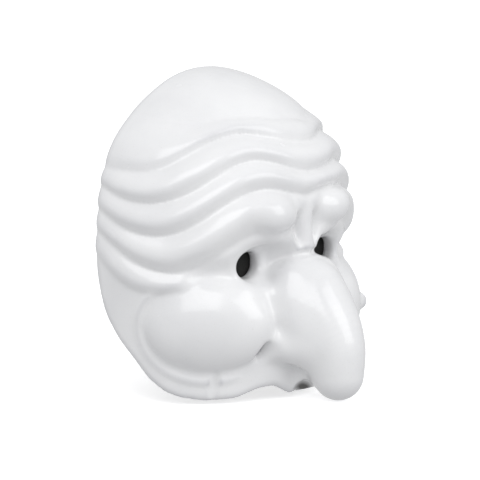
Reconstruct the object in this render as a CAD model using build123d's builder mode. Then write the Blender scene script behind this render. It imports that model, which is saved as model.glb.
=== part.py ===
"""Carnival half mask with a hooked nose, ball cheeks and a wrinkled forehead.

A moulded papier-mache shell, lined with felt in two panels, with black gauze behind the
eye holes and foam pads where it rests on the wearer's face.  A leather tab inside each temple holds a D-ring for a ribbon.
+X is the wearer's left, -Y is the way the mask faces, +Z is up.  The origin lies at eye
level, midway between the temples, on the plane of the rear rim.
"""
from build123d import *
from math import cos, radians, sin, sqrt
import os

os.makedirs("parts", exist_ok=True)

# ---------------------------------------------------------------- driving dimensions, mm
WALL = 4.5                      # papier-mache and gesso
LINING = 1.2                    # felt
PAD = 4.6                       # foam pad with its cloth cover, where it is thinnest
GLUE = 0.1                      # glue line between felt, pads and shell
REAR_REACH = 8.0                # how far the cavity cutters pass the rear rim

# height, half width at the rear rim, depth forward of the rear rim
FACE_SECTIONS = [
    (-80, 81.5, 77.0),
    (-60, 80.5, 80.0),
    (-30, 83.5, 83.0),
    (-5, 85.0, 82.0),
    (17, 85.0, 84.0),
    (36, 83.0, 81.0),
    (52, 79.5, 75.0),
    (66, 71.5, 66.5),
    (78, 60.5, 57.0),
    (88, 45.0, 44.5),
    (95, 27.0, 29.5),
    (99, 10.0, 13.0),
    (100, 3.0, 4.0),
]
CROWN = 100.0

# the jaw's edge seen from the side: forward distance, height
JAW_EDGE = [(0, -12), (9, -33), (21, -53), (35, -67), (52, -73), (66, -72), (73, -66), (78, -70), (84, -73)]

# each nose section: underside (forward, height), ridge (forward, height), half width
NOSE_SECTIONS = [
    ((60, -50), (60, 2), 25.0),
    ((78, -50), (86, 2), 24.5),
    ((87.5, -52.5), (108, -21), 19.0),
    ((91.5, -61.5), (115.8, -43.5), 14.0),
    ((94, -67), (110.5, -61.5), 7.5),
]
NOSE_TIP_CENTRE = (0.0, -102.4, -65.2)
NOSE_TIP_RADII = (9.4, 10.4, 9.2)
NOSE_HOLLOW = [
    ((50, -46), (50, -2), 21.0),
    ((77, -46), (83.5, -3), 20.5),
    ((86, -49), (103.2, -22.5), 15.0),
    ((94, -59.5), (110.5, -45.5), 9.5),
]

CHEEK_CENTRE = (52.0, -54.0, -32.0)
CHEEK_RADII = (35.5, 17.0, 26.5)         # along the face, outward, upward
CHEEK_YAW = 45.0
WART_CENTRE = (64.5, -63.5, -33.0)
WART_RADIUS = 5.0
NOSTRIL_CENTRE = (20.0, -70.0, -41.0)
NOSTRIL_RADII = (9.0, 15.0, 9.5)

EYE_X = 32.0
EYE_HALF_WIDTH = 9.2
EYE_HALF_HEIGHT = 7.2
EYE_LIP = 2.6
EYE_LIP_REAR = 57.0                      # forward distance of the lip's inner end
EYE_LIP_FRONT = 65.0
SOCKET_CENTRE = (31.0, -86.0, 0.5)
SOCKET_RADII = (23.0, 24.0, 13.5)
GAUZE_THICK = 0.5                        # black eye gauze, glued on the lip's inner end
GAUZE_MARGIN = 2.4                       # how far it laps over the lip

# forehead folds and the brow, as crest lines over one half: distance from the middle, height
FOLD_RADIUS = 5.6
FOLD_SUNK = 3.2                          # depth of the fold's centre line under the skin
FOLDS = [
    [(0, 75), (22, 79), (40, 80), (56, 73)],
    [(0, 63), (22, 66), (42, 66), (58, 61), (69, 51)],
    [(0, 50), (22, 53), (42, 53), (57, 44), (68, 33), (77, 31)],
    [(0, 35), (18, 40), (38, 41), (54, 31), (67, 19), (78, 17)],
    [(11, 27), (24, 31), (36, 31), (48, 25), (60, 13), (72, 5)],
]

LINING_REAR = 3.0                        # how far the lining stops short of the rear rim
LINING_EDGE = 3.5                        # how far it stops short of the jaw's edge
LINING_SEAM = 0.2                        # half the gap between its two panels
LINING_EYE = 3.6                         # how far its eye openings stand off the eye holes
LINING_NOSE = (0, -24, 45, 51)           # its opening for the nose: across, height, width, tall
LINING_NOSE_CORNER = 21.0

# pads seen from the front: across, height, width, tall, corner
BROW_PAD = (0, 46, 84, 18, 8.5)
BRIDGE_PAD = (0, 26, 22, 12, 5.5)
CHEEK_PAD = (50, -36, 34, 23, 10.0)

TAB_WIDTH = 11.0
TAB_LENGTH = 21.0
TAB_THICK = 2.5                          # two plies of leather
TAB_TILT = -14.0                         # the temple's slope against straight ahead
TAB_LOOP = 2.45                          # outer radius of the leather round the ring's bar
RING_WIRE = 1.1                          # radius of the D-ring's wire
RING_BORE = 1.25                         # radius inside the leather loop
RING_PIVOT = (75.0, -10.5, 8.0)
RING_HALF_HEIGHT = 8.0
RING_REACH = 9.2
RING_BAR_CORNER = 2.2
RING_BOW_CORNER = 6.6
RIVET_STATIONS = (7.5, 15.5)             # distances from the ring's bar
RIVET_POST = 1.2
RIVET_HOLE = 1.25
RIVET_FLANGE = 2.4
RIVET_FLANGE_THICK = 0.5
RIVET_CAP = 2.8
RIVET_CAP_THICK = 1.4
RIVET_SOCKET = 0.7                       # depth of the post's end inside the cap

# ------------------------------------------------------------------------ shared shapes
def section_at(height):
    """Half width and depth of the face at a height, between the listed sections."""
    for (low, low_width, low_depth), (high, high_width, high_depth) in zip(FACE_SECTIONS, FACE_SECTIONS[1:]):
        if low <= height <= high:
            share = (height - low) / (high - low)
            return low_width + share * (high_width - low_width), low_depth + share * (high_depth - low_depth)


def skin_point(across, height, sunk):
    """Point under the face's skin at a distance from the middle and a height."""
    half_width, depth = section_at(height)
    half_width -= sunk
    depth -= sunk
    across = min(across, half_width)
    return Vector(across, -depth * sqrt(1 - (across / half_width) ** 2), height)


def face_block(inset):
    """The face's bulk, inset from its skin, as a loft of level sections open to the rear."""
    with BuildPart() as block:
        for height, half_width, depth in FACE_SECTIONS:
            level = height
            if height > 0:
                level = height * (CROWN - inset) / CROWN
            width = max(half_width - inset, half_width * 0.4)
            reach = max(depth - inset, depth * 0.4)
            with BuildSketch(Plane.XY.offset(level)):
                with BuildLine():
                    EllipticalCenterArc((0, 0), width, reach, start_angle=180, arc_size=180)
                    Polyline((width, 0), (width, REAR_REACH), (-width, REAR_REACH), (-width, 0))
                make_face()
        loft()
    return block.part


def ellipsoid(centre, radii, yaw=0.0):
    """Ellipsoid turned about the vertical."""
    with BuildPart() as ball:
        Sphere(1.0)
        scale(by=tuple(radii))
    return Pos(*centre) * Rot(0, 0, yaw) * ball.part


def both_sides(shape):
    """A shape and its mirror image about the middle of the face."""
    return [shape, mirror(shape, about=Plane.YZ)]


def nose_block(sections):
    """A hooked nose as a loft of elliptical sections from the face to its tip."""
    with BuildPart() as nose:
        for under, ridge, half_width in sections:
            low = Vector(0, -under[0], under[1])
            high = Vector(0, -ridge[0], ridge[1])
            upward = (high - low).normalized()
            half_height = (high - low).length / 2
            plane = Plane(origin=(low + high) * 0.5, x_dir=(1, 0, 0), z_dir=Vector(1, 0, 0).cross(upward))
            with BuildSketch(plane):
                with BuildLine():
                    for start in (-90, 90):
                        EllipticalCenterArc((0, 0), half_width, half_height, start_angle=start, arc_size=180)
                make_face()
        loft()
    return nose.part


def jaw_cutter(margin=0.0):
    """Everything behind and under the jaw's edge."""
    with BuildPart() as cutter:
        with BuildSketch(Plane.YZ):
            with BuildLine():
                Spline([(-forward - margin, height + margin) for forward, height in JAW_EDGE])
                last = (-JAW_EDGE[-1][0] - margin, JAW_EDGE[-1][1] + margin)
                first = (-JAW_EDGE[0][0] - margin, JAW_EDGE[0][1] + margin)
                Polyline(last, (-90, last[1]), (-90, -100), (40, -100), (40, first[1]), first)
            make_face()
        extrude(amount=120, both=True)
    return cutter.part


def eye_prism(grow, rear, front):
    """Prism through an eye, from one forward distance to another."""
    with BuildPart() as prism:
        with BuildSketch(Plane.XZ.offset(rear)):
            with Locations((EYE_X, 0)):
                Ellipse(EYE_HALF_WIDTH + grow, EYE_HALF_HEIGHT + grow)
        extrude(amount=front - rear)
    return prism.part


def outline_prism(across, height, width, tall, rear, front, corner):
    """Rounded prism along the way the mask faces."""
    with BuildPart() as prism:
        with BuildSketch(Plane.XZ.offset(rear)):
            with Locations((across, height)):
                RectangleRounded(width, tall, corner)
        extrude(amount=front - rear)
    return prism.part


def fold_ridge(crest):
    """A rounded ridge along a crest line, half sunk in the skin, over the full width."""
    half = [skin_point(across, height, FOLD_SUNK) for across, height in crest]
    far = [Vector(-point.X, point.Y, point.Z) for point in reversed(half)]
    if crest[0][0] == 0:
        paths = [far + half[1:]]
    else:
        paths = [half, far]
    ridges = []
    for points in paths:
        with BuildPart() as ridge:
            with BuildLine() as crest_line:
                Spline(points)
            with BuildSketch(Plane(origin=crest_line.line @ 0, z_dir=crest_line.line % 0)):
                Circle(FOLD_RADIUS)
            sweep()
            for end in (points[0], points[-1]):
                with Locations(end):
                    Sphere(FOLD_RADIUS)
        ridges.append(ridge.part)
    return ridges


def cavity(inset):
    """The hollow behind the face, inset from the skin, with the cheeks' hollows."""
    block = face_block(inset)
    grown = [radius - inset for radius in CHEEK_RADII]
    hollows = both_sides(ellipsoid(CHEEK_CENTRE, grown, CHEEK_YAW))
    padded = [radius + inset for radius in SOCKET_RADII]
    sockets = both_sides(ellipsoid(SOCKET_CENTRE, padded))
    with BuildPart() as hollow:
        add(block)
        add(hollows)
        add(sockets, mode=Mode.SUBTRACT)
    return hollow.part


# ------------------------------------------------------------------------------- shell
outer_face = face_block(0.0)
shell_cavity = cavity(WALL)
cheeks = both_sides(ellipsoid(CHEEK_CENTRE, CHEEK_RADII, CHEEK_YAW))
eye_sockets = both_sides(ellipsoid(SOCKET_CENTRE, SOCKET_RADII))
nostrils = both_sides(ellipsoid(NOSTRIL_CENTRE, NOSTRIL_RADII))
nose_outer = nose_block(NOSE_SECTIONS)
nose_inner = nose_block(NOSE_HOLLOW)
nose_tip = ellipsoid(NOSE_TIP_CENTRE, NOSE_TIP_RADII)
jaw = jaw_cutter()
eye_holes = both_sides(eye_prism(0.0, 40.0, 100.0))
eye_lips = both_sides(eye_prism(EYE_LIP, EYE_LIP_REAR, EYE_LIP_FRONT))
wart = Pos(*WART_CENTRE) * Sphere(WART_RADIUS)
folds = [ridge for crest in FOLDS for ridge in fold_ridge(crest)]

with BuildPart() as mask_shell:
    add(outer_face)
    split(bisect_by=Plane.XZ, keep=Keep.TOP)
    add(cheeks)
    add(eye_sockets, mode=Mode.SUBTRACT)
    add(folds)
    add(nose_outer)
    add(nose_tip)
    add(nostrils)
    add(wart)
    add(shell_cavity, mode=Mode.SUBTRACT)
    add(jaw, mode=Mode.SUBTRACT)
    add(nose_inner, mode=Mode.SUBTRACT)
    add(eye_lips)
    add(eye_holes, mode=Mode.SUBTRACT)


# --------------------------------------------------------------------------- eye gauze
gauze_front = EYE_LIP_REAR - GLUE
gauze_disc = eye_prism(GAUZE_MARGIN, gauze_front - GAUZE_THICK, gauze_front)

with BuildPart() as left_eye_gauze:
    add(gauze_disc)

with BuildPart() as right_eye_gauze:
    add(gauze_disc)
    mirror(about=Plane.YZ, mode=Mode.REPLACE)


# ------------------------------------------------------------------------------ lining
lining_outer = cavity(WALL + GLUE)
lining_inner = cavity(WALL + GLUE + LINING)
lining_edge = jaw_cutter(LINING_EDGE)
lining_eyes = both_sides(eye_prism(LINING_EYE, 30.0, 100.0))
lining_nose = outline_prism(*LINING_NOSE, rear=60.0, front=110.0, corner=LINING_NOSE_CORNER)

with BuildPart() as lining:
    add(lining_outer)
    add(lining_inner, mode=Mode.SUBTRACT)
    split(bisect_by=Plane.XZ.offset(LINING_REAR), keep=Keep.TOP)
    add(lining_edge, mode=Mode.SUBTRACT)
    add(lining_eyes, mode=Mode.SUBTRACT)
    add(lining_nose, mode=Mode.SUBTRACT)

with BuildPart() as left_lining:
    add(lining.part)
    split(bisect_by=Plane.YZ.offset(LINING_SEAM), keep=Keep.TOP)

with BuildPart() as right_lining:
    add(lining.part)
    split(bisect_by=Plane.YZ.offset(-LINING_SEAM), keep=Keep.BOTTOM)


# -------------------------------------------------------------------------------- pads
PAD_BACK = WALL + LINING + 2 * GLUE
pad_back = face_block(PAD_BACK)
pad_back_with_cheeks = cavity(PAD_BACK)
pad_face = face_block(PAD_BACK + PAD)


def pad(back, outline):
    """A pad between the lining and a surface parallel to the face's skin."""
    across, height, width, tall, corner = outline
    prism = outline_prism(across, height, width, tall, rear=10.0, front=110.0, corner=corner)
    with BuildPart() as cushion:
        add(back)
        add(pad_face, mode=Mode.SUBTRACT)
        add(prism, mode=Mode.INTERSECT)
    return cushion.part


brow_cushion = pad(pad_back, BROW_PAD)
bridge_cushion = pad(pad_back, BRIDGE_PAD)
cheek_cushion = pad(pad_back_with_cheeks, CHEEK_PAD)

with BuildPart() as brow_pad:
    add(brow_cushion)

with BuildPart() as bridge_pad:
    add(bridge_cushion)

with BuildPart() as left_cheek_pad:
    add(cheek_cushion)

with BuildPart() as right_cheek_pad:
    add(cheek_cushion)
    mirror(about=Plane.YZ, mode=Mode.REPLACE)


# -------------------------------------------------------------- temple tabs and D-rings
tab_plane = Plane(
    origin=RING_PIVOT,
    x_dir=(cos(radians(TAB_TILT)), sin(radians(TAB_TILT)), 0),
    z_dir=(0, 0, 1),
)


def rivet_plane(station):
    """Plane on the wall side of the tab, facing the wall, at a rivet."""
    origin = tab_plane.from_local_coords(Vector(TAB_LOOP, -station, 0))
    return Plane(origin=origin, z_dir=tab_plane.x_dir)


with BuildPart() as left_anchor_tab:
    with BuildSketch(tab_plane.offset(-TAB_WIDTH / 2)):
        Circle(TAB_LOOP)
        with Locations((TAB_LOOP - TAB_THICK / 2, -TAB_LENGTH / 2)):
            Rectangle(TAB_THICK, TAB_LENGTH)
        Circle(RING_BORE, mode=Mode.SUBTRACT)
    extrude(amount=TAB_WIDTH)
    for station in RIVET_STATIONS:
        with BuildSketch(rivet_plane(station)):
            Circle(RIVET_HOLE)
        extrude(amount=-2 * TAB_THICK, mode=Mode.SUBTRACT)

with BuildPart() as right_anchor_tab:
    add(left_anchor_tab.part)
    mirror(about=Plane.YZ, mode=Mode.REPLACE)

with BuildPart() as left_d_ring:
    with BuildLine(Plane(origin=RING_PIVOT, x_dir=(0, 1, 0), z_dir=(-1, 0, 0))) as ring_line:
        FilletPolyline(
            (0, -RING_HALF_HEIGHT),
            (0, RING_HALF_HEIGHT),
            (RING_REACH, RING_HALF_HEIGHT),
            (RING_REACH, -RING_HALF_HEIGHT),
            radius=(RING_BAR_CORNER, RING_BAR_CORNER, RING_BOW_CORNER, RING_BOW_CORNER),
            close=True,
        )
    with BuildSketch(Plane(origin=ring_line.line @ 0, z_dir=ring_line.line % 0)):
        Circle(RING_WIRE)
    sweep()

with BuildPart() as right_d_ring:
    add(left_d_ring.part)
    mirror(about=Plane.YZ, mode=Mode.REPLACE)

with BuildPart() as rivet_posts:
    for station in RIVET_STATIONS:
        with BuildSketch(rivet_plane(station)):
            Circle(RIVET_FLANGE)
        extrude(amount=RIVET_FLANGE_THICK)
        with BuildSketch(rivet_plane(station)):
            Circle(RIVET_POST)
        extrude(amount=-(TAB_THICK + RIVET_SOCKET))
    mirror(about=Plane.YZ)

with BuildPart() as rivet_caps:
    for station in RIVET_STATIONS:
        with BuildSketch(rivet_plane(station).offset(-TAB_THICK)):
            Circle(RIVET_CAP)
        extrude(amount=-RIVET_CAP_THICK, taper=25)
        with BuildSketch(rivet_plane(station).offset(-TAB_THICK)):
            Circle(RIVET_HOLE)
        extrude(amount=-RIVET_SOCKET, mode=Mode.SUBTRACT)
    mirror(about=Plane.YZ)


# ------------------------------------------------------------------------------ export
pieces = {
    "mask_shell": mask_shell,
    "left_eye_gauze": left_eye_gauze,
    "right_eye_gauze": right_eye_gauze,
    "left_lining": left_lining,
    "right_lining": right_lining,
    "brow_pad": brow_pad,
    "bridge_pad": bridge_pad,
    "left_cheek_pad": left_cheek_pad,
    "right_cheek_pad": right_cheek_pad,
    "left_anchor_tab": left_anchor_tab,
    "right_anchor_tab": right_anchor_tab,
    "left_d_ring": left_d_ring,
    "right_d_ring": right_d_ring,
    "rivet_posts": rivet_posts,
    "rivet_caps": rivet_caps,
}
for name, piece in pieces.items():
    piece.part.label = name
    export_step(piece.part, f"parts/{name}.step")
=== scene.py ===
"""Looks of a carnival half mask: a gloss white shell, felt lining, pads and ribbon rings.

The shell is sculpted as a field of distances on a fine grid: a domed face with folds, ball
cheeks and a hooked nose, hollowed by its wall, with rounded rims.  Lengths inside the
sculpting functions are millimetres, with f the distance forward of the rear rim (-Y).
"""

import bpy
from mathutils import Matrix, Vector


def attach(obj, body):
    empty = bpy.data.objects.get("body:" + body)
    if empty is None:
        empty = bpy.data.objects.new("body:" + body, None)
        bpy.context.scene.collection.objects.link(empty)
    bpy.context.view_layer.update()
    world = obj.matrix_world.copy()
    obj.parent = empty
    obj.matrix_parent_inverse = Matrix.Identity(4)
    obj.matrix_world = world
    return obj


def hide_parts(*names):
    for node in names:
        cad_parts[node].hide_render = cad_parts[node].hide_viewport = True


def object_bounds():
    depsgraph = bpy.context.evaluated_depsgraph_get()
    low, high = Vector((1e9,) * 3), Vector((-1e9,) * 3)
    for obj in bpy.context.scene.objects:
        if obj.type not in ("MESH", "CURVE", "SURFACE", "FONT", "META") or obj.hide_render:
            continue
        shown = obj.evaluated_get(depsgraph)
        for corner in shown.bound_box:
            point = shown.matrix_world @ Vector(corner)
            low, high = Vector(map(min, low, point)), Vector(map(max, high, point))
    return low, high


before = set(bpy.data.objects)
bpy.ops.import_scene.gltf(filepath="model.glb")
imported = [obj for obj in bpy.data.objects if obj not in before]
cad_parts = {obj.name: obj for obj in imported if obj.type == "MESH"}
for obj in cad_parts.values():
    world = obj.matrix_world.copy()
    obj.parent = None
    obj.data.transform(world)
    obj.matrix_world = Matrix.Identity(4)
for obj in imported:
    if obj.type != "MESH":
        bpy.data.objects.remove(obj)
cad_box = [list(corner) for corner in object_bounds()]

import bpy
import numpy as np
import openvdb
from mathutils import Vector

MM = 0.001

# ------------------------------------------------------------------ the face, in mm
WALL = 4.5
CROWN = 100.0
# height, half width at the rear rim, depth forward of it
FACE = [
    (-84, 80.4, 78.0),
    (-60, 80.2, 80.6),
    (-30, 83.2, 82.6),
    (-5, 84.6, 81.6),
    (17, 84.6, 82.0),
    (36, 82.6, 80.4),
    (52, 78.8, 75.8),
    (66, 71.0, 67.2),
    (78, 59.6, 56.4),
    (88, 44.2, 43.6),
    (95, 28.0, 29.4),
    (99, 14.0, 15.4),
]
TOP_LEVEL, TOP_WIDTH, TOP_DEPTH = FACE[-1]

# the jaw's edge and the valleys between folds: height over the turn from the middle, in degrees
JAW = [(0, -70.5), (4, -72), (8, -73), (11, -71), (17, -66.8), (24, -67.5), (33, -72), (45, -73),
       (56, -71), (62, -68), (69, -61), (75, -50), (81, -40), (86, -28), (90, -12), (100, 12)]
FOLD_TURNS = (0, 6, 12, 18, 24, 30, 36, 42, 48, 54, 60, 66, 72, 78, 84, 90)
VALLEYS = [
    (75.5, 77, 78, 78.5, 78.5, 78.5, 77.5, 76.5, 76.5, 77.5, 78.5, 79, 79, 79, 79, 79),
    (64, 65.5, 67, 68.5, 70, 70, 68.5, 66.5, 63, 59, 54.5, 52, 51, 51.5, 52, 52.5),
    (48.5, 50.5, 53.5, 56, 57, 55.5, 52.5, 48, 43, 39, 36.5, 35, 35.5, 37, 40.5, 44),
    (35.5, 37, 39.5, 41.5, 41.5, 39.5, 36, 31, 25, 20.5, 18, 18, 19.5, 22.5, 27, 32),
    (18, 19, 20, 20, 19.5, 16.5, 12, 5.5, 0, -2, -2, 0, 3.5, 9, 15, 20),
    (5, 5, 5, 4, 2, -1, -4, -6, -9.5, -12, -14, -14, -12.5, -8.5, -1, 8),
]
# how much lower each valley runs on the wearer's left, where the folds were modelled flatter
LEFT_TURNS = (0, 9, 20, 34, 55)
LEFT_DROPS = [(0, 2, 6, 4, 0), (0, 4, 6.5, 4, 0), (0, 4, 8, 4, 0), (-1, 0, 4.5, 2, 0)]
# height of each fold's crest over the skin, and its place on the way down from valley to valley
CREST_TURNS = (0, 8, 16, 30, 45, 60, 75, 84, 90)
CRESTS = [
    (3.4, 3.6, 3.8, 3.8, 3.6, 3.2, 2.6, 1.8, 1.0),
    (4.6, 4.8, 5.0, 5.2, 5.2, 5.2, 4.6, 3.0, 1.0),
    (4.6, 4.8, 5.0, 5.4, 5.4, 5.4, 4.8, 3.0, 1.0),
    (0.4, 2.0, 6.6, 7.0, 6.0, 5.4, 4.4, 2.8, 1.0),
    (0.0, 0.0, 0.0, 0.0, 2.4, 4.0, 4.0, 2.8, 1.0),
]
PEAKS = [
    (0.34, 0.34, 0.34, 0.36, 0.55, 0.70, 0.72, 0.72, 0.72),
    (0.42, 0.42, 0.42, 0.44, 0.50, 0.57, 0.59, 0.59, 0.59),
    (0.42, 0.42, 0.42, 0.44, 0.50, 0.57, 0.59, 0.59, 0.59),
    (0.38, 0.38, 0.38, 0.40, 0.48, 0.57, 0.59, 0.59, 0.59),
    (0.42, 0.42, 0.42, 0.42, 0.46, 0.53, 0.56, 0.56, 0.56),
]
FOLD_BLUNTNESS = 0.8                      # under 1, the side over the crest leaves its valley steeply
FOLD_SHARE_INSIDE = 0.25                  # how much of the folds shows on the inner wall
VALLEY_DEPTH = 1.5                        # how far the valleys lie under the skin
VALLEY_START = 2.0                        # height over the top valley where the skin begins to sink
VALLEY_FADE_TURNS = (0, 60, 88)
VALLEY_FADES = (1.0, 1.0, 0.3)            # share of the sinking left at those turns
VALLEY_EASES = (5.0, 8.0)                 # heights over which it sinks there and rises at the last valley
LEAST_DROP = 0.6                          # least depth under the crown, so that the outline stays finite
LEVEL_BLUR = 3.0                          # smoothing, in grid levels, of the face's outline over its height
LINE_BLUR = 3.0                           # smoothing, in degrees, of each line over the turn
JAW_BLUR = 1.2
RELIEF_BLUR = (1.0, 0.6)                  # smoothing of the relief along the turn and up

# ellipsoids joined or cut on both sides, and the wart on the wearer's left; width rounds the joint
CHEEK = dict(centre=(52.0, 54.0, -32.0), radii=(35.0, 16.6, 25.4), yaw=45.0)
CHEEK_JOIN = dict(heights=(-42, -14), widths=(1.6, 4.5), inside=8.0)
SOCKET = dict(centre=(31.0, 87.0, 0.5), radii=(24.0, 25.0, 14.0), width=5.0)
TEMPLE_HOLLOW = dict(centre=(61.0, 69.0, -3.0), radii=(21.0, 14.5, 8.5), width=7.0, yaw=40.0)
EYE_CORNER = dict(centre=(17.0, 84.0, 2.0), radii=(9.0, 12.0, 10.0), width=4.0)
BETWEEN_BROWS = dict(centre=(0.0, 91.5, 19.0), radii=(13.0, 17.6, 14.0), width=4.0)
BETWEEN_BROWS_INSIDE = dict(centre=(0.0, 93.0, 17.0), radii=(12.0, 16.5, 11.0), width=4.0)
BROW_BULB = dict(centre=(24.5, 76.5, 26.5), radii=(11.5, 8.8, 8.6), width=6.0, yaw=12.0)
WING_CREASE = dict(centre=(33.5, 77.5, -46.0), radii=(2.6, 7.0, 5.5), width=3.5, yaw=-20.0)
WART = dict(centre=(64.2, 63.8, -33.0), radius=5.0, width=2.0)

# the ring round each cheek: its half axes, thickness, first and last angle, and how it is laid on the skin
CHEEK_RING = dict(along=39.5, up=30.0, radius=2.2, thin=1.7, tip=0.9, start=118, end=292, balls=15)
CHEEK_RING_SUNK = 1.2
CHEEK_RING_REAR = 6.0
# the dent in the edge under each cheek: across, height, radius
DENT = [(54.6, -58.0, 1.6), (55.0, -63.0, 2.2), (55.6, -70.0, 1.4)]
DENT_LIFT = 1.0

# balls along the nose's middle line: forward, height, radius
NOSE = [
    (70.0, -24.0, 26.0),
    (79.0, -17.5, 20.3),
    (83.5, -27.0, 22.3),
    (93.0, -36.0, 18.9),
    (99.5, -46.0, 15.9),
    (100.8, -53.5, 14.6),
    (101.5, -60.6, 13.3),
]
NOSE_SWELL = 0.6
NOSE_JOIN = dict(outside=4.0, inside=5.0)
NOSE_CLEAR = 89.5                         # the jaw's edge is cut only behind this
# tubes: across, forward, height and radius of the balls that they pass through
NOSE_FLANK = [
    (12.0, 78.5, -9.0, 9.0),
    (15.0, 81.0, -21.0, 11.0),
    (14.5, 84.0, -33.0, 11.5),
    (10.0, 90.0, -43.0, 11.0),
]
NOSE_WING = [
    (27.5, 72.8, -43.0, 7.8),
    (19.0, 81.0, -43.5, 9.6),
    (12.0, 87.5, -46.0, 9.5),
    (5.5, 94.0, -52.0, 8.5),
]
NOSE_WEB = [(0.0, 76.0, -65.0, 8.5), (0.0, 83.0, -60.5, 8.5), (0.0, 90.0, -57.5, 9.0)]
NOSE_ROOT = [(1.0, 82.0, 5.0, 1.4), (4.5, 81.0, 4.8, 1.6), (8.5, 79.0, 4.4, 0.9)]
FROWN = [
    (8.5, 77.0, 34.0, 2.4),
    (3.4, 76.6, 31.0, 3.6),
    (0.6, 76.0, 24.0, 4.2),
    (0.2, 76.4, 17.0, 4.2),
    (0.6, 77.8, 10.5, 3.6),
    (2.0, 79.4, 7.0, 2.4),
]
NOSTRIL = [(8.0, 79.8, -74.0, 3.4), (7.0, 84.6, -67.5, 3.4)]
# painted shade in each nostril: where the lacquer is darkened, and how far from there it is clear again
NOSTRIL_SHADE = dict(place=(6.8, 82.6, -70.5), dark=3.6, clear=6.0)

EYE = dict(x=32.0, half_width=9.2, half_height=7.2, squareness=2.3, flat_lid=0.06)
EYE_RIM = dict(width=2.8, rear=55.6, front=64.8, rounding=4.0, join=3.5)
EYE_PART = dict(half_width=24, rear=40, front=90, half_height=22)     # the grid worked on round an eye
EYE_EDGE = 3.2                            # rounding of the hole's edge

# roundings where the walls, the rear rim and the jaw's edge meet
WALL_ROUNDING = 1.0
REAR_CORNER = 6.0
EDGE_ROUNDING = 4.2
TUBE_JOIN = 0.8                           # rounding between the lengths of a tube
BAND = 3.0                                # distances are meshed from only this near the skin

STEP = 1.1
XS = np.arange(-92.4, 92.5, STEP, dtype=np.float32)
FS = np.arange(-7.7, 122.2, STEP, dtype=np.float32)
ZS = np.arange(-81.4, 107.9, STEP, dtype=np.float32)
X, F, Z = np.meshgrid(XS, FS, ZS, indexing="ij")


# ------------------------------------------------------------------ joining distances
def smooth_min(a, b, width):
    """Union of two distances with a rounded valley of a given width."""
    share = np.clip(0.5 + 0.5 * (b - a) / width, 0, 1)
    return b + (a - b) * share - width * share * (1 - share)


def smooth_max(a, b, width):
    """Overlap of two distances with a rounded edge of a given width."""
    return -smooth_min(-a, -b, width)


def true_distance(field):
    """A field scaled so that it measures distance near where it is zero."""
    slopes = np.gradient(field, STEP)
    steepness = np.sqrt(sum(slope * slope for slope in slopes))
    return field / np.maximum(steepness, 1e-4)


def blurred(row, width):
    """A row of numbers smoothed by a bell of a given width in entries."""
    reach = int(3 * width) + 1
    bell = np.exp(-0.5 * (np.arange(-reach, reach + 1) / width) ** 2)
    padded = np.pad(row, reach, mode="edge")
    return np.convolve(padded, bell / bell.sum(), mode="valid")


def around(low, high):
    """The part of the grid inside a box."""
    cuts = []
    for axis, lowest, highest in zip((XS, FS, ZS), low, high):
        first, last = np.searchsorted(axis, (lowest, highest))
        cuts.append(slice(int(first), int(last)))
    return tuple(cuts)


def ellipsoid(centre, radii, yaw=0.0, side=1, part=(slice(None),) * 3):
    """Distance to an ellipsoid turned about the vertical; side -1 mirrors it."""
    turn = np.radians(yaw)
    dx = X[part] * side - centre[0]
    df = F[part] - centre[1]
    along = dx * np.cos(turn) - df * np.sin(turn)
    outward = dx * np.sin(turn) + df * np.cos(turn)
    up = Z[part] - centre[2]
    near = np.sqrt((along / radii[0]) ** 2 + (outward / radii[1]) ** 2 + (up / radii[2]) ** 2)
    parts = (along / radii[0] ** 2, outward / radii[1] ** 2, up / radii[2] ** 2)
    slope = np.sqrt(sum(one ** 2 for one in parts))
    return near * (near - 1) / np.maximum(slope, 1e-4)


def tube(points, radii, part):
    """Distance to a tube through points whose radius changes from one to the next."""
    best = None
    for start, end, first, last in zip(points, points[1:], radii, radii[1:]):
        run = np.subtract(end, start)
        dx, df, dz = X[part] - start[0], F[part] - start[1], Z[part] - start[2]
        share = np.clip((dx * run[0] + df * run[1] + dz * run[2]) / max(run @ run, 1e-6), 0, 1)
        gap = np.sqrt((dx - share * run[0]) ** 2 + (df - share * run[1]) ** 2 + (dz - share * run[2]) ** 2)
        link = gap - first - share * (last - first)
        best = link if best is None else smooth_min(best, link, TUBE_JOIN)
    return best


def rounded_path(points):
    """A path with its corners cut twice, so that it bends evenly."""
    path = np.array(points, float)
    for _ in range(2):
        early = 0.75 * path[:-1] + 0.25 * path[1:]
        late = 0.25 * path[:-1] + 0.75 * path[1:]
        inner_points = np.stack([early, late], axis=1).reshape(-1, path.shape[1])
        path = np.vstack([path[:1], inner_points, path[-1:]])
    return path


# ------------------------------------------------------------------ the face's bulk
levels = np.array([row[0] for row in FACE], float)
share_of_crown = np.sqrt(CROWN - levels)
fine = np.sqrt(np.maximum(CROWN - ZS.astype(float), 0.0))
half_widths = np.interp(-fine, -share_of_crown, [row[1] for row in FACE])
depths = np.interp(-fine, -share_of_crown, [row[2] for row in FACE])
drop = np.maximum(CROWN - ZS.astype(float), LEAST_DROP)
half_widths = np.where(ZS > TOP_LEVEL, TOP_WIDTH * np.sqrt(drop / (CROWN - TOP_LEVEL)), half_widths)
depths = np.where(ZS > TOP_LEVEL, TOP_DEPTH * np.sqrt(drop / (CROWN - TOP_LEVEL)), depths)
alpha = blurred(half_widths ** 2 / drop, LEVEL_BLUR)
beta = blurred(depths ** 2 / drop, LEVEL_BLUR)
bulk = X ** 2 / alpha[None, None, :] + F ** 2 / beta[None, None, :] - (CROWN - Z)
bulk = true_distance(bulk.astype(np.float32))

wide = np.sqrt(alpha * drop)
deep = np.sqrt(beta * drop)
TURN = np.degrees(np.arctan2(X / wide[None, None, :], F / deep[None, None, :])).astype(np.float32)


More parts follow.
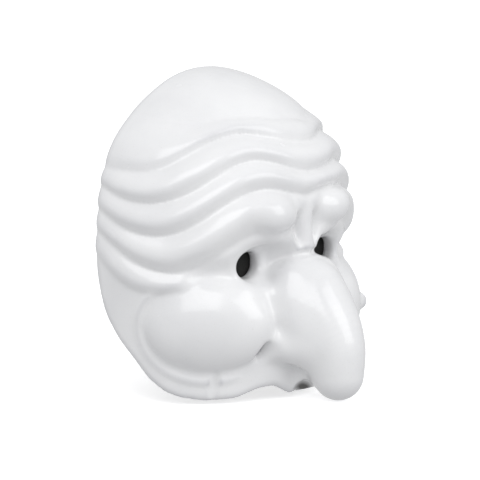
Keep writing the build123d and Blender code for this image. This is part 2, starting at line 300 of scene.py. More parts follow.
def on_skin(across, height, lift=0.0):
    """The point of the face's skin at a distance from the middle and a height."""
    half_width = np.interp(height, ZS, wide) + lift
    depth = np.interp(height, ZS, deep) + lift
    return across, depth * np.sqrt(max(1 - (across / half_width) ** 2, 0.0)), height


def outward_to_skin(across, forward, height, lift=0.0):
    """The point of the skin straight out from the mask's axis through another point."""
    reach = np.hypot(across / np.interp(height, ZS, wide), forward / np.interp(height, ZS, deep))
    flat = np.hypot(across, forward)
    stretch = 1 / reach + lift / flat
    return across * stretch, forward * stretch, height


# ------------------------------------------------------------------ folds and jaw edge
MAP_TURNS = np.arange(-180, 181, 1.0)
MAP_HEIGHTS = ZS.astype(float)
turn_map, height_map = np.meshgrid(MAP_TURNS, MAP_HEIGHTS, indexing="ij")


def line_over_turn(turns, heights):
    """A line given over some turns of either side, smoothed, at every turn of the map."""
    return blurred(np.interp(np.abs(MAP_TURNS), turns, heights), LINE_BLUR)


def from_map(table):
    """Values of a map of turn by height at every grid point."""
    along = TURN - MAP_TURNS[0]
    low = np.clip(along.astype(int), 0, len(MAP_TURNS) - 2)
    part = along - low
    level = np.arange(len(ZS))[None, None, :]
    return (table[low, level] * (1 - part) + table[low + 1, level] * part).astype(np.float32)


valley_lines = [line_over_turn(FOLD_TURNS, heights) for heights in VALLEYS]
for line, drops in zip(valley_lines, LEFT_DROPS):
    line -= blurred(np.interp(MAP_TURNS, LEFT_TURNS, drops, left=0.0), LINE_BLUR)
relief = np.zeros_like(turn_map)
for upper, lower, crests, peaks in zip(valley_lines, valley_lines[1:], CRESTS, PEAKS):
    crest = line_over_turn(CREST_TURNS, crests)[:, None]
    share = (upper[:, None] - height_map) / np.maximum(upper - lower, 1.0)[:, None]
    inside = (share > 0) & (share < 1)
    peak = line_over_turn(CREST_TURNS, peaks)[:, None]
    rise = np.sin(0.5 * np.pi * np.clip(share / peak, 0, 1)) ** FOLD_BLUNTNESS
    fall = np.cos(0.5 * np.pi * np.clip((share - peak) / (1 - peak), 0, 1))
    relief += np.where(inside, rise * fall * crest, 0.0)
top_line, bottom_line = valley_lines[0][:, None], valley_lines[-1][:, None]
sunk = np.clip((top_line + VALLEY_START - height_map) / VALLEY_EASES[0], 0, 1)
sunk *= np.clip((height_map - bottom_line) / VALLEY_EASES[1], 0, 1)
fade = np.interp(np.abs(MAP_TURNS), VALLEY_FADE_TURNS, VALLEY_FADES)[:, None]
relief -= VALLEY_DEPTH * sunk * fade
relief = np.apply_along_axis(blurred, 1, relief, RELIEF_BLUR[1])
relief = np.apply_along_axis(blurred, 0, relief, RELIEF_BLUR[0])

folds = from_map(relief)
jaw_line = np.interp(np.abs(MAP_TURNS), [row[0] for row in JAW], [row[1] for row in JAW])
jaw_line = blurred(jaw_line, JAW_BLUR)
jaw_field = from_map(np.repeat(jaw_line[:, None], len(ZS), axis=1)) - Z
jaw = true_distance(jaw_field)


# ------------------------------------------------------------------ cheeks, nose, eyes
NOSE_PART = around((-34, 38, -82), (34, 122, 10))


def nose_distance():
    """Distance to the nose, a chain of balls whose size changes evenly from one to the next."""
    path = rounded_path(NOSE)
    points = [(0.0, forward, height) for forward, height, _ in path]
    chain = None
    for start, end, first, last in zip(points, points[1:], path[:, 2], path[1:, 2]):
        link = tube([start, end], [first, last], NOSE_PART)
        chain = link if chain is None else np.minimum(chain, link)
    return chain - NOSE_SWELL


def join(field, part, shape, width, cut):
    """Joins a shape to part of a field, or cuts it away."""
    if cut:
        field[part] = smooth_max(field[part], -shape, width)
    else:
        field[part] = smooth_min(field[part], shape, width)


def add_tube(field, balls, width, cut=False):
    """Joins a tube through balls to a field, or cuts it away as a groove."""
    path = rounded_path(balls)
    margin = float(path[:, 3].max()) + width + BAND
    part = around(path[:, :3].min(axis=0) - margin, path[:, :3].max(axis=0) + margin)
    join(field, part, tube(path[:, :3], path[:, 3], part), width, cut)


def add_ball(field, centre, radii, width, yaw=0.0, cut=False):
    """Joins an ellipsoid on each side to a field, or cuts it away as a hollow."""
    margin = max(radii) + width + BAND
    for side in (1, -1):
        middle = np.array([side * centre[0], centre[1], centre[2]])
        part = around(middle - margin, middle + margin)
        join(field, part, ellipsoid(centre, radii, yaw, side, part), width, cut)


def mirrored(balls, side):
    """The balls as they are, or for side -1 on the other half of the face."""
    return [(side * across, *rest) for across, *rest in balls]


outer = bulk - folds
inner = bulk - FOLD_SHARE_INSIDE * folds
for field in (outer, inner):
    for hollow in (SOCKET, TEMPLE_HOLLOW, EYE_CORNER):
        add_ball(field, **hollow, cut=True)
add_ball(outer, **BETWEEN_BROWS, cut=True)
add_ball(inner, **BETWEEN_BROWS_INSIDE, cut=True)
cheek_width = np.interp(ZS, CHEEK_JOIN["heights"], CHEEK_JOIN["widths"]).astype(np.float32)[None, None, :]
for side in (1, -1):
    cheek = ellipsoid(**CHEEK, side=side)
    outer = smooth_min(outer, cheek, cheek_width)
    inner = smooth_min(inner, cheek, CHEEK_JOIN["inside"])
nose = nose_distance()
outer[NOSE_PART] = smooth_min(outer[NOSE_PART], nose, NOSE_JOIN["outside"])
inner[NOSE_PART] = smooth_min(inner[NOSE_PART], nose, NOSE_JOIN["inside"])

# the nose's flanks and wings, the web under its middle and the creases beside the wings
for side in (1, -1):
    add_tube(outer, mirrored(NOSE_FLANK, side), width=6.0)
    add_tube(outer, mirrored(NOSE_WING, side), width=5.0)
add_tube(outer, NOSE_WEB, width=6.0)
add_ball(outer, **WING_CREASE, cut=True)

# bulbs at the brow's inner ends, the frown's ridge between them and the crease at the nose's root
add_ball(outer, **BROW_BULB)
for side in (1, -1):
    add_tube(outer, mirrored(FROWN, side), width=3.0)
    add_tube(outer, mirrored(NOSE_ROOT, side), width=1.5, cut=True)

# the thin ring round each cheek ball and the dent under it
angles = np.radians(np.linspace(CHEEK_RING["start"], CHEEK_RING["end"], CHEEK_RING["balls"]))
third = CHEEK_RING["balls"] // 3
ring_radii = np.full(CHEEK_RING["balls"], CHEEK_RING["radius"])
ring_radii[[0, -1]] = CHEEK_RING["tip"]
ring_radii[third:2 * third] = CHEEK_RING["thin"]
cheek_yaw = np.radians(CHEEK["yaw"])
ring_balls = []
for angle, radius in zip(angles, ring_radii):
    along = -CHEEK_RING["along"] * np.cos(angle)
    across = CHEEK["centre"][0] + along * np.cos(cheek_yaw)
    forward = max(CHEEK["centre"][1] - along * np.sin(cheek_yaw), CHEEK_RING_REAR)
    height = CHEEK["centre"][2] + CHEEK_RING["up"] * np.sin(angle)
    ring_balls.append((*outward_to_skin(across, forward, height, lift=-CHEEK_RING_SUNK), radius))
dent_balls = [(*on_skin(across, height, DENT_LIFT), radius) for across, height, radius in DENT]
for side in (1, -1):
    add_tube(outer, mirrored(ring_balls, side), width=1.6)
    add_tube(outer, mirrored(dent_balls, side), width=2.0, cut=True)

wart_reach = WART["radius"] + WART["width"] + BAND
wart_part = around(np.subtract(WART["centre"], wart_reach), np.add(WART["centre"], wart_reach))
wart = ellipsoid(WART["centre"], [WART["radius"]] * 3, part=wart_part)
join(outer, wart_part, wart, WART["width"], cut=False)

shell = smooth_max(outer, -(inner + WALL), WALL_ROUNDING)
rear = smooth_max(np.minimum(jaw, NOSE_CLEAR - F), -F, REAR_CORNER)
shell = smooth_max(shell, rear, EDGE_ROUNDING)
for side in (1, -1):
    add_tube(shell, mirrored(NOSTRIL, side), width=1.2, cut=True)


def round_eye(side):
    """The part of the grid round an eye."""
    middle = side * EYE["x"]
    low = (middle - EYE_PART["half_width"], EYE_PART["rear"], -EYE_PART["half_height"])
    high = (middle + EYE_PART["half_width"], EYE_PART["front"], EYE_PART["half_height"])
    return around(low, high)


def eye_hole(side, part):
    """Distance to the prism through an eye, its upper lid flatter than its lower one."""
    across = (X[part] * side - EYE["x"]) / EYE["half_width"]
    rise = Z[part] / EYE["half_height"]
    lid = np.where(rise > 0, EYE["flat_lid"] * (1 - across ** 2), 0.0)
    power = EYE["squareness"]
    ring = (np.abs(across) ** power + np.abs(rise + lid) ** power) ** (1 / power)
    return (ring - 1) * 0.5 * (EYE["half_width"] + EYE["half_height"])


for side in (1, -1):
    part = round_eye(side)
    hole = eye_hole(side, part)
    middle = 0.5 * (EYE_RIM["rear"] + EYE_RIM["front"])
    ends = np.abs(F[part] - middle) - (EYE_RIM["front"] - middle)
    rim = smooth_max(hole - EYE_RIM["width"], ends, EYE_RIM["rounding"])
    join(shell, part, rim, EYE_RIM["join"], cut=False)
    join(shell, part, hole, EYE_EDGE, cut=True)


# ------------------------------------------------------------------ meshing
def mesh_from_field(name, field, material, smoothing=0):
    """A smooth mesh of where a field of distances is zero."""
    grid = openvdb.FloatGrid(background=BAND)
    grid.copyFromArray(np.clip(field, -BAND, BAND).astype(np.float32))
    points, triangles, quads = grid.convertToPolygons(isovalue=0.0, adaptivity=0.0)
    spots = np.array(points, float)
    place = np.empty_like(spots)
    place[:, 0] = (XS[0] + spots[:, 0] * STEP) * MM
    place[:, 1] = -(FS[0] + spots[:, 1] * STEP) * MM
    place[:, 2] = (ZS[0] + spots[:, 2] * STEP) * MM
    mesh = bpy.data.meshes.new(name)
    faces = [tuple(face) for face in quads] + [tuple(face) for face in triangles]
    mesh.from_pydata(place.tolist(), [], faces)
    mesh.validate()
    mesh.update()
    piece = bpy.data.objects.new(name, mesh)
    bpy.context.scene.collection.objects.link(piece)
    if smoothing:
        relax = piece.modifiers.new("relax", "SMOOTH")
        relax.factor = 0.5
        relax.iterations = smoothing
        ready = piece.evaluated_get(bpy.context.evaluated_depsgraph_get())
        piece.data = bpy.data.meshes.new_from_object(ready)
        piece.modifiers.clear()
    piece.data.polygons.foreach_set("use_smooth", [True] * len(piece.data.polygons))
    piece.data.materials.clear()
    piece.data.materials.append(material)
    return piece


# ------------------------------------------------------------------ materials
class Paint:
    """A Principled material built node by node in object space."""

    def __init__(self, name, roughness, metallic=0.0, **constants):
        self.material = bpy.data.materials.new(name)
        self.material.use_nodes = True
        self.tree = self.material.node_tree
        self.shader = self.tree.nodes["Principled BSDF"]
        self.place = self.tree.nodes.new("ShaderNodeTexCoord").outputs["Object"]
        self.shader.inputs["Roughness"].default_value = roughness
        self.shader.inputs["Metallic"].default_value = metallic
        for socket, value in constants.items():
            self.shader.inputs[socket.replace("_", " ")].default_value = value
        self.height = None

    def stretched(self, scale):
        """Object coordinates stretched by a factor along each axis."""
        mapping = self.tree.nodes.new("ShaderNodeMapping")
        mapping.inputs["Scale"].default_value = scale
        self.tree.links.new(self.place, mapping.inputs["Vector"])
        return mapping.outputs["Vector"]

    def noise(self, scale, detail=3.0, roughness=0.5, stretch=None):
        node = self.tree.nodes.new("ShaderNodeTexNoise")
        node.inputs["Scale"].default_value = scale
        node.inputs["Detail"].default_value = detail
        node.inputs["Roughness"].default_value = roughness
        source = self.stretched(stretch) if stretch else self.place
        self.tree.links.new(source, node.inputs["Vector"])
        return node.outputs["Fac"]

    def cells(self, scale):
        node = self.tree.nodes.new("ShaderNodeTexVoronoi")
        node.feature = "DISTANCE_TO_EDGE"
        node.inputs["Scale"].default_value = scale
        self.tree.links.new(self.place, node.inputs["Vector"])
        return node.outputs["Distance"]

    def bands(self, scale, direction, distortion):
        node = self.tree.nodes.new("ShaderNodeTexWave")
        node.bands_direction = direction
        node.inputs["Scale"].default_value = scale
        node.inputs["Distortion"].default_value = distortion
        node.inputs["Detail"].default_value = 2.0
        self.tree.links.new(self.place, node.inputs["Vector"])
        return node.outputs["Fac"]

    def edges(self):
        return self.tree.nodes.new("ShaderNodeNewGeometry").outputs["Pointiness"]

    def near(self, spot, inner_radius, outer_radius):
        """0 within a distance of a spot, rising to 1 at a greater one."""
        gap = self.tree.nodes.new("ShaderNodeVectorMath")
        gap.operation = "DISTANCE"
        gap.inputs[1].default_value = spot
        self.tree.links.new(self.place, gap.inputs[0])
        node = self.tree.nodes.new("ShaderNodeMapRange")
        node.inputs["From Min"].default_value = inner_radius
        node.inputs["From Max"].default_value = outer_radius
        self.tree.links.new(gap.outputs["Value"], node.inputs["Value"])
        return node.outputs["Result"]

    def ramp(self, value, stops):
        """A colour for each value, from (position, colour) stops."""
        node = self.tree.nodes.new("ShaderNodeValToRGB")
        node.color_ramp.elements[0].position = stops[0][0]
        node.color_ramp.elements[0].color = (*stops[0][1], 1)
        node.color_ramp.elements[1].position = stops[-1][0]
        node.color_ramp.elements[1].color = (*stops[-1][1], 1)
        for position, colour in stops[1:-1]:
            node.color_ramp.elements.new(position).color = (*colour, 1)
        self.tree.links.new(value, node.inputs["Fac"])
        return node.outputs["Color"]

    def blend(self, share, first, second, kind="MIX"):
        """Two colours mixed by a share."""
        node = self.tree.nodes.new("ShaderNodeMix")
        node.data_type = "RGBA"
        node.blend_type = kind
        node.inputs["Factor"].default_value = share
        self.tree.links.new(first, node.inputs[6])
        self.tree.links.new(second, node.inputs[7])
        return node.outputs[2]

    def colour(self, source):
        self.tree.links.new(source, self.shader.inputs["Base Color"])

    def rough(self, value, low, high):
        """Roughness that varies with a value between two limits."""
        node = self.tree.nodes.new("ShaderNodeMapRange")
        node.inputs["To Min"].default_value = low
        node.inputs["To Max"].default_value = high
        self.tree.links.new(value, node.inputs["Value"])
        self.tree.links.new(node.outputs["Result"], self.shader.inputs["Roughness"])

    def bump(self, value, strength, depth_mm):
        """Surface relief of a depth, laid over the relief added before."""
        node = self.tree.nodes.new("ShaderNodeBump")
        node.inputs["Strength"].default_value = strength
        node.inputs["Distance"].default_value = depth_mm * MM
        self.tree.links.new(value, node.inputs["Height"])
        if self.height:
            self.tree.links.new(self.height, node.inputs["Normal"])
        self.height = node.outputs["Normal"]
        self.tree.links.new(self.height, self.shader.inputs["Normal"])


def lacquer():
    """White gesso under clear lacquer: faint clouding, waviness, painted shade greying the creases and
    painted shade darkening the nostrils.
    """
    paint = Paint("white_lacquer", 0.24, Coat_Weight=0.6, Coat_Roughness=0.11, Specular_IOR_Level=0.5)
    clouds = paint.ramp(paint.noise(26.0, 4.0), [(0.35, (0.80, 0.802, 0.81)), (0.65, (0.86, 0.862, 0.866))])
    specks = paint.ramp(paint.noise(1400.0, 2.0), [(0.2, (0.90, 0.89, 0.87)), (0.36, (1.0, 1.0, 1.0))])
    # painted shade: the lacquer is greyed in creases and hollows, where shade falls
    crease_shade = paint.ramp(paint.edges(), [(0.455, (0.80, 0.80, 0.82)), (0.495, (1.0, 1.0, 1.0))])
    colour = paint.blend(1.0, clouds, specks, "MULTIPLY")
    colour = paint.blend(1.0, colour, crease_shade, "MULTIPLY")
    # painted shade: the lacquer darkens round a spot in each nostril recess, where shade falls
    across, forward, height = NOSTRIL_SHADE["place"]
    for side in (1, -1):
        spot = (side * across * MM, -forward * MM, height * MM)
        distance = paint.near(spot, NOSTRIL_SHADE["dark"] * MM, NOSTRIL_SHADE["clear"] * MM)
        shade = paint.ramp(distance, [(0.0, (0.10, 0.095, 0.09)), (1.0, (1.0, 1.0, 1.0))])
        colour = paint.blend(1.0, colour, shade, "MULTIPLY")
    paint.colour(colour)
    paint.rough(paint.noise(60.0, 3.0), 0.17, 0.31)
    paint.bump(paint.noise(55.0, 2.0, stretch=(1.0, 1.0, 2.2)), 0.10, 0.9)
    paint.bump(paint.noise(420.0, 3.0), 0.05, 0.25)
    return paint.material


def felt():
    """Black wool felt: matted fibres with paler stray hairs."""
    paint = Paint("black_felt", 0.96, Sheen_Weight=0.35, Sheen_Roughness=0.6, Specular_IOR_Level=0.15)
    fibres = paint.noise(900.0, 5.0, 0.7, stretch=(1.0, 1.0, 3.2))
    clumps = paint.noise(40.0, 3.0)
    patches = paint.ramp(clumps, [(0.35, (0.010, 0.010, 0.011)), (0.7, (0.019, 0.018, 0.019))])
    hairs = paint.ramp(fibres, [(0.3, (0.6, 0.6, 0.6)), (0.62, (1.0, 1.0, 1.0)), (0.75, (2.2, 2.2, 2.1))])
    paint.colour(paint.blend(1.0, patches, hairs, "MULTIPLY"))
    paint.bump(fibres, 0.6, 0.5)
    paint.bump(paint.noise(160.0, 2.0), 0.3, 0.6)
    return paint.material


def pad_cloth():
    """Black brushed jersey: fine knitted wales with a soft nap."""
    paint = Paint("pad_jersey", 0.9, Sheen_Weight=0.5, Sheen_Roughness=0.45, Specular_IOR_Level=0.2)
    wales = paint.bands(260.0, "X", 0.6)
    courses = paint.bands(330.0, "Z", 0.8)
    knit = paint.blend(0.5, wales, courses)
    tone = paint.ramp(knit, [(0.2, (0.016, 0.016, 0.018)), (0.8, (0.046, 0.046, 0.050))])
    wear = paint.ramp(paint.noise(70.0, 3.0), [(0.35, (0.8, 0.8, 0.8)), (0.7, (1.25, 1.25, 1.3))])
    paint.colour(paint.blend(1.0, tone, wear, "MULTIPLY"))
    paint.bump(knit, 0.5, 0.35)
    paint.bump(paint.noise(1100.0, 3.0), 0.3, 0.2)
    return paint.material


def leather():
    """Brown vegetable-tanned leather: pebbled grain, darker pores, burnished edges."""
    paint = Paint("tab_leather", 0.5, Coat_Weight=0.12, Coat_Roughness=0.35)
    grain = paint.cells(1300.0)
    tone = paint.ramp(paint.noise(150.0, 4.0), [(0.3, (0.105, 0.047, 0.021)), (0.7, (0.19, 0.095, 0.045))])
    pores = paint.ramp(grain, [(0.0, (0.45, 0.42, 0.40)), (0.18, (1.0, 1.0, 1.0))])
    rim = paint.ramp(paint.edges(), [(0.5, (1.0, 1.0, 1.0)), (0.60, (0.42, 0.38, 0.36))])
    colour = paint.blend(1.0, tone, pores, "MULTIPLY")
    paint.colour(paint.blend(1.0, colour, rim, "MULTIPLY"))
    paint.rough(paint.noise(300.0, 3.0), 0.38, 0.62)
    paint.bump(grain, 0.5, 0.2)
    paint.bump(paint.noise(500.0, 4.0), 0.3, 0.2)
    return paint.material


def metal(name, light, dark, low, high):
    """Nickel plate: hairline scratches and dulled patches."""
    paint = Paint(name, low, metallic=1.0)
    tarnish = paint.noise(220.0, 4.0)
    paint.colour(paint.ramp(tarnish, [(0.35, dark), (0.62, light)]))
    scratches = paint.noise(700.0, 4.0, 0.6, stretch=(1.0, 1.0, 7.0))
    paint.rough(scratches, low, high)
    paint.bump(scratches, 0.15, 0.06)
    return paint.material


def thread():
    """Waxed linen thread with its twist."""
    paint = Paint("waxed_thread", 0.6, Sheen_Weight=0.2)
    twist = paint.noise(2600.0, 2.0, stretch=(1.0, 2.0, 2.0))
    paint.colour(paint.ramp(twist, [(0.35, (0.30, 0.25, 0.17)), (0.65, (0.62, 0.55, 0.42))]))
    paint.bump(twist, 0.6, 0.15)
    return paint.material


def gauze():
    """Black cotton gauze, a dark sheet of painted shade behind each eye hole: a plain weave of fine threads
    with small gaps.
    """
    paint = Paint("black_gauze_painted_shade", 0.95, Sheen_Weight=0.1, Specular_IOR_Level=0.1)
    weave = paint.blend(0.5, paint.bands(900.0, "X", 0.4), paint.bands(900.0, "Z", 0.4))
    paint.colour(paint.ramp(weave, [(0.25, (0.010, 0.010, 0.010)), (0.8, (0.034, 0.034, 0.032))]))
    paint.bump(weave, 0.5, 0.2)
    return paint.material


LACQUER = lacquer()
FELT = felt()
JERSEY = pad_cloth()
LEATHER = leather()
THREAD = thread()
SHADE_GAUZE = gauze()
RING_METAL = metal("nickel_ring", (0.78, 0.76, 0.72), (0.52, 0.50, 0.47), 0.12, 0.32)
RIVET_METAL = metal("nickel_rivets", (0.70, 0.68, 0.64), (0.44, 0.42, 0.39), 0.2, 0.42)


# ------------------------------------------------------------------ the pieces
def belongs(piece, node):
    """Rides a piece on the mask in place of a CAD node."""
    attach(piece, "mask")
    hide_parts(node)


def repaint(node, material):
    """Gives a carried-over CAD node its material."""
    mesh = bpy.data.objects[node].data
    mesh.materials.clear()
    mesh.materials.append(material)


mask = mesh_from_field("mask_shell_sculpted", shell, LACQUER, smoothing=1)
belongs(mask, "mask_shell")

# felt lining in two panels, pressed a little into the gesso behind it
FELT_BACK = 4.3                           # depths under the form that the inner wall follows at WALL
FELT_FACE = 5.8
FELT_ROUNDING = 0.8
LINING_REAR = 3.0
LINING_FRONT = 80.0
LINING_EDGE = 3.5                         # how far the felt stops short of the jaw's edge
LINING_EYE = 3.4                          # and of the eye holes
SEAM = -0.4                               # the panels butt, pressed together
NOSE_OPENING = dict(across=0.0, height=-24.0, half_width=22.5, half_height=25.5, corner=21.0)
NOSE_OPENING_REAR = 58.0


def rounded_plate(across, height, half_width, half_height, corner):
    """Distance, seen from the front, to a rounded rectangle."""
    dx = np.abs(X - across) - (half_width - corner)
    dz = np.abs(Z - height) - (half_height - corner)
    outside = np.sqrt(np.maximum(dx, 0) ** 2 + np.maximum(dz, 0) ** 2)
    return outside + np.minimum(np.maximum(dx, dz), 0) - corner


lining = np.maximum(inner + FELT_BACK, -(inner + FELT_FACE))
nose_opening = np.maximum(rounded_plate(**NOSE_OPENING), NOSE_OPENING_REAR - F)
for limit in (LINING_REAR - F, jaw + LINING_EDGE, F - LINING_FRONT, -nose_opening):
    lining = smooth_max(lining, limit, FELT_ROUNDING)
for side in (1, -1):
    part = round_eye(side)
    lining[part] = smooth_max(lining[part], LINING_EYE - eye_hole(side, part), FELT_ROUNDING)
for name, side in (("left", 1), ("right", -1)):
    panel = mesh_from_field(f"{name}_felt_panel", np.maximum(lining, SEAM - side * X), FELT)
    belongs(panel, f"{name}_lining")

# pads: crowned cushions on the felt
PAD_BACK = 5.9                            # depth under the form that the inner wall follows
PAD_EDGE = 9.4                            # depth of the pad's edge under the face without its folds
PAD_CROWN = 1.9
PAD_CROWN_WIDTH = 7.0                     # the crown is reached this far in from the edge
PAD_SHRINK = 0.3
PAD_ROUNDING = dict(side=3.4, body=1.2, rear=0.5, seam=1.0)
PAD_REAR = 20.0
PAD_SEAM = dict(inset=3.0, sunk=0.9, radius=1.0)
CHEEK_PAD = dict(height=-36.0, half_width=17.0, half_height=11.5, corner=10.0)
PADS = {
    "brow": dict(across=0.0, height=46.0, half_width=42.0, half_height=9.0, corner=8.5),
    "bridge": dict(across=0.0, height=26.0, half_width=11.0, half_height=6.0, corner=5.5),
    "left_cheek": dict(across=50.0, **CHEEK_PAD),
    "right_cheek": dict(across=-50.0, **CHEEK_PAD),
}
# along a stitch: share of its length, rise over its ground and thickness, both in radii of the thread
STITCH = [(0.0, -1.05, 0.55), (0.25, 0.48, 0.95), (0.5, 0.48, 1.0), (0.75, 0.48, 0.95), (1.0, -1.05, 0.55)]
THREAD_SIDES = 8


def casts(target, start, direction):
    """Where a straight line from a point first meets a piece."""
    hit, spot, normal, _ = target.ray_cast(Vector(start), Vector(direction))
    return (spot, normal) if hit else (None, None)


def add_stitch(vertices, faces, spine, radius):
    """Adds one stitch, a short tube along a spine of (centre, normal) pairs."""
    base = len(vertices)
    forward = (spine[-1][0] - spine[0][0]).normalized()
    for (centre, normal), (_, _, thickness) in zip(spine, STITCH):
        side = forward.cross(normal).normalized()
        up = side.cross(forward).normalized()
        for corner in range(THREAD_SIDES):
            turn = 2 * np.pi * corner / THREAD_SIDES
            offset = side * float(np.cos(turn)) + up * float(np.sin(turn))
            vertices.append(centre + offset * radius * thickness * MM)
    last = base + THREAD_SIDES * (len(spine) - 1)
    for ring in range(base, last, THREAD_SIDES):
        for corner in range(THREAD_SIDES):
            a = ring + corner
            b = ring + (corner + 1) % THREAD_SIDES
            faces.append((a, b, b + THREAD_SIDES, a + THREAD_SIDES))
    faces.append(tuple(base + corner for corner in reversed(range(THREAD_SIDES))))
    faces.append(tuple(last + corner for corner in range(THREAD_SIDES)))


def stitch_row(name, target, path, direction, radius, length=2.2, gap=1.1):
    """Stitches along a closed path of start points, each laid on a piece, as one mesh."""
    points = np.array(path + path[:1], float)
    steps = np.linalg.norm(np.diff(points, axis=0), axis=1)
    travelled = np.concatenate([[0], np.cumsum(steps)])
    count = int(travelled[-1] / ((length + gap) * MM))
    stretch = travelled[-1] / count
    vertices, faces = [], []
    for index in range(count):
        spine = []
        for share, rise, _ in STITCH:
            at = index * stretch + share * length * MM
            start = [np.interp(at, travelled, points[:, axis]) for axis in range(3)]
            spot, normal = casts(target, start, direction)
            if spot is None:
                break
            spine.append((spot + normal * rise * radius * MM, normal))
        if len(spine) == len(STITCH):
            add_stitch(vertices, faces, spine, radius)
    mesh = bpy.data.meshes.new(name)
    mesh.from_pydata([tuple(vertex) for vertex in vertices], [], faces)
    mesh.validate()
    mesh.polygons.foreach_set("use_smooth", [True] * len(mesh.polygons))
    mesh.materials.append(THREAD)
    piece = bpy.data.objects.new(name, mesh)
    bpy.context.scene.collection.objects.link(piece)
    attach(piece, "mask")


def rounded_outline(across, height, half_width, half_height, corner, steps=6):
    """Points round a rounded rectangle, in mm."""
    points = []
    for quarter, (sx, sz) in enumerate(((1, 1), (-1, 1), (-1, -1), (1, -1))):
        middle = (across + sx * (half_width - corner), height + sz * (half_height - corner))
        for step in range(steps + 1):
            turn = np.radians(90 * (quarter + step / steps))
            points.append((middle[0] + corner * np.cos(turn), middle[1] + corner * np.sin(turn)))
    return points


for name, pad in PADS.items():
    plate = rounded_plate(**pad)
    crown = np.sin(0.5 * np.pi * np.clip(-plate / PAD_CROWN_WIDTH, 0, 1))
    body = smooth_max(inner + PAD_BACK, -(bulk + PAD_EDGE + PAD_CROWN * crown), PAD_ROUNDING["body"])
    body = smooth_max(body, plate + PAD_SHRINK, PAD_ROUNDING["side"])
    body = smooth_max(body, PAD_REAR - F, PAD_ROUNDING["rear"])
    inset = PAD_SEAM["inset"]
    groove = np.sqrt((plate + inset) ** 2 + (bulk + PAD_EDGE + PAD_SEAM["sunk"]) ** 2) - PAD_SEAM["radius"]
    body = smooth_max(body, -groove, PAD_ROUNDING["seam"])
    cushion = mesh_from_field(f"{name}_cushion", body, JERSEY, smoothing=2)
    belongs(cushion, f"{name}_pad")
    sizes = {key: pad[key] - inset for key in ("half_width", "half_height", "corner")}
    path = [(a * MM, 0.0, h * MM) for a, h in rounded_outline(pad["across"], pad["height"], **sizes)]
    stitch_row(f"{name}_cushion_stitching", cushion, path, (0, -1, 0), radius=0.26)

# leather tabs with a stitched edge, and the nodes that keep their CAD shape
TAB_STITCHES = dict(across=-22.2, height=8.0, half_width=8.2, half_height=4.1, corner=1.5)
TAB_STITCHES_START = 60.0                 # the stitches are cast outward from here
for name, side in (("left", 1), ("right", -1)):
    repaint(f"{name}_anchor_tab", LEATHER)
    # the black gauze in each eye hole is painted shade, a dark sheet standing in for the shade seen through
    # the holes
    repaint(f"{name}_eye_gauze", SHADE_GAUZE)
    repaint(f"{name}_d_ring", RING_METAL)
    tab = bpy.data.objects[f"{name}_anchor_tab"]
    start = side * TAB_STITCHES_START * MM
    path = [(start, y * MM, z * MM) for y, z in rounded_outline(**TAB_STITCHES)]
    stitch_row(f"{name}_tab_stitching", tab, path, (side, 0, 0), 0.2, length=1.6, gap=0.8)
for name in ("rivet_posts", "rivet_caps"):
    repaint(name, RIVET_METAL)

# ------------------------------------------------------------------ camera, light, floor
low, high = [Vector(corner) for corner in cad_box]
AZIMUTH = np.radians(-50.0)
ELEVATION = np.radians(9.5)
DISTANCE = 2.4
FRAME_WIDTH = 0.2665
TARGET = Vector((0.0157, -0.0187, 0.0027))
SENSOR = 36.0
level_part = np.cos(ELEVATION)
away = Vector((np.sin(AZIMUTH) * level_part, -np.cos(AZIMUTH) * level_part, np.sin(ELEVATION)))
camera_data = bpy.data.cameras.new("camera")
camera_data.sensor_width = SENSOR
camera_data.lens = SENSOR * DISTANCE / FRAME_WIDTH
camera = bpy.data.objects.new("camera", camera_data)
camera.location = TARGET + away * DISTANCE
camera.rotation_euler = (-away).to_track_quat("-Z", "Y").to_euler()
bpy.context.scene.collection.objects.link(camera)
bpy.context.scene.camera = camera


def area_light(name, place, aim, size, power):
    """A soft box aimed at a point."""
    data = bpy.data.lights.new(name, "AREA")
    data.shape = "RECTANGLE"
    data.size = size[0]
    data.size_y = size[1]
    data.energy = power
    light = bpy.data.objects.new(name, data)
    light.location = place
    light.rotation_euler = (Vector(place) - Vector(aim)).to_track_quat("Z", "Y").to_euler()
    bpy.context.scene.collection.objects.link(light)


middle = (low + high) / 2
area_light("key_light", (-1.2, -0.95, 1.5), middle, (1.5, 1.5), 13)
area_light("front_light", (0.4, -1.75, 0.9), middle, (1.2, 1.4), 8.5)
bpy.context.scene.view_settings.view_transform = "Standard"

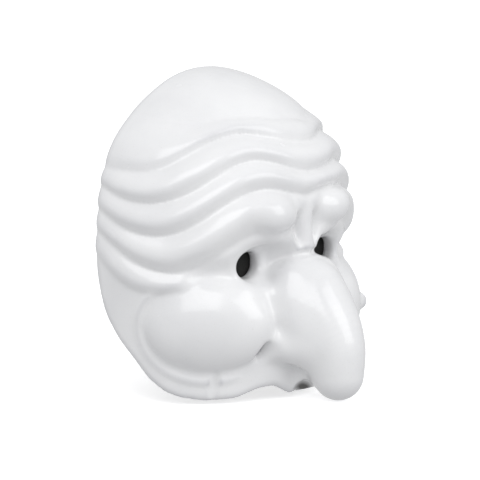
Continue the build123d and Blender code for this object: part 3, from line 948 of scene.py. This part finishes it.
# the sky's light from straight below and straight above; the camera itself sees plain white
SKY_BELOW = 0.60
SKY_ABOVE = 0.78
SKY_BELOW_LEVEL = -0.9
world = bpy.data.worlds.new("studio")
world.use_nodes = True
nodes = world.node_tree.nodes
links = world.node_tree.links
sky = nodes["Background"]
sky.inputs["Color"].default_value = (0.98, 0.985, 1.0, 1)
direction = nodes.new("ShaderNodeTexCoord")
split = nodes.new("ShaderNodeSeparateXYZ")
overhead = nodes.new("ShaderNodeMapRange")
overhead.inputs["From Min"].default_value = SKY_BELOW_LEVEL
overhead.inputs["From Max"].default_value = 1.0
overhead.inputs["To Min"].default_value = SKY_BELOW
overhead.inputs["To Max"].default_value = SKY_ABOVE
links.new(direction.outputs["Generated"], split.inputs["Vector"])
links.new(split.outputs["Z"], overhead.inputs["Value"])
links.new(overhead.outputs["Result"], sky.inputs["Strength"])
backdrop = nodes.new("ShaderNodeBackground")
backdrop.inputs["Color"].default_value = (1, 1, 1, 1)
backdrop.inputs["Strength"].default_value = 1.0
seen = nodes.new("ShaderNodeLightPath")
mix = nodes.new("ShaderNodeMixShader")
links.new(seen.outputs["Is Camera Ray"], mix.inputs["Fac"])
links.new(sky.outputs["Background"], mix.inputs[1])
links.new(backdrop.outputs["Background"], mix.inputs[2])
links.new(mix.outputs["Shader"], nodes["World Output"].inputs["Surface"])
bpy.context.scene.world = world

floor_mesh = bpy.data.meshes.new("floor")
reach = 6.0
floor_level = low.z - 0.0005
floor_mesh.from_pydata([(-reach, -reach, floor_level), (reach, -reach, floor_level),
                        (reach, reach, floor_level), (-reach, reach, floor_level)], [], [(0, 1, 2, 3)])
floor = bpy.data.objects.new("floor", floor_mesh)
bpy.context.scene.collection.objects.link(floor)
floor_material = bpy.data.materials.new("pale_floor")
floor_material.use_nodes = True
floor_shader = floor_material.node_tree.nodes["Principled BSDF"]
floor_shader.inputs["Base Color"].default_value = (0.93, 0.93, 0.93, 1)
floor_shader.inputs["Roughness"].default_value = 0.9
floor_shader.inputs["Emission Color"].default_value = (1, 1, 1, 1)
floor_shader.inputs["Emission Strength"].default_value = 0.5
floor_mesh.materials.append(floor_material)
floor.visible_diffuse = False
floor.visible_glossy = False
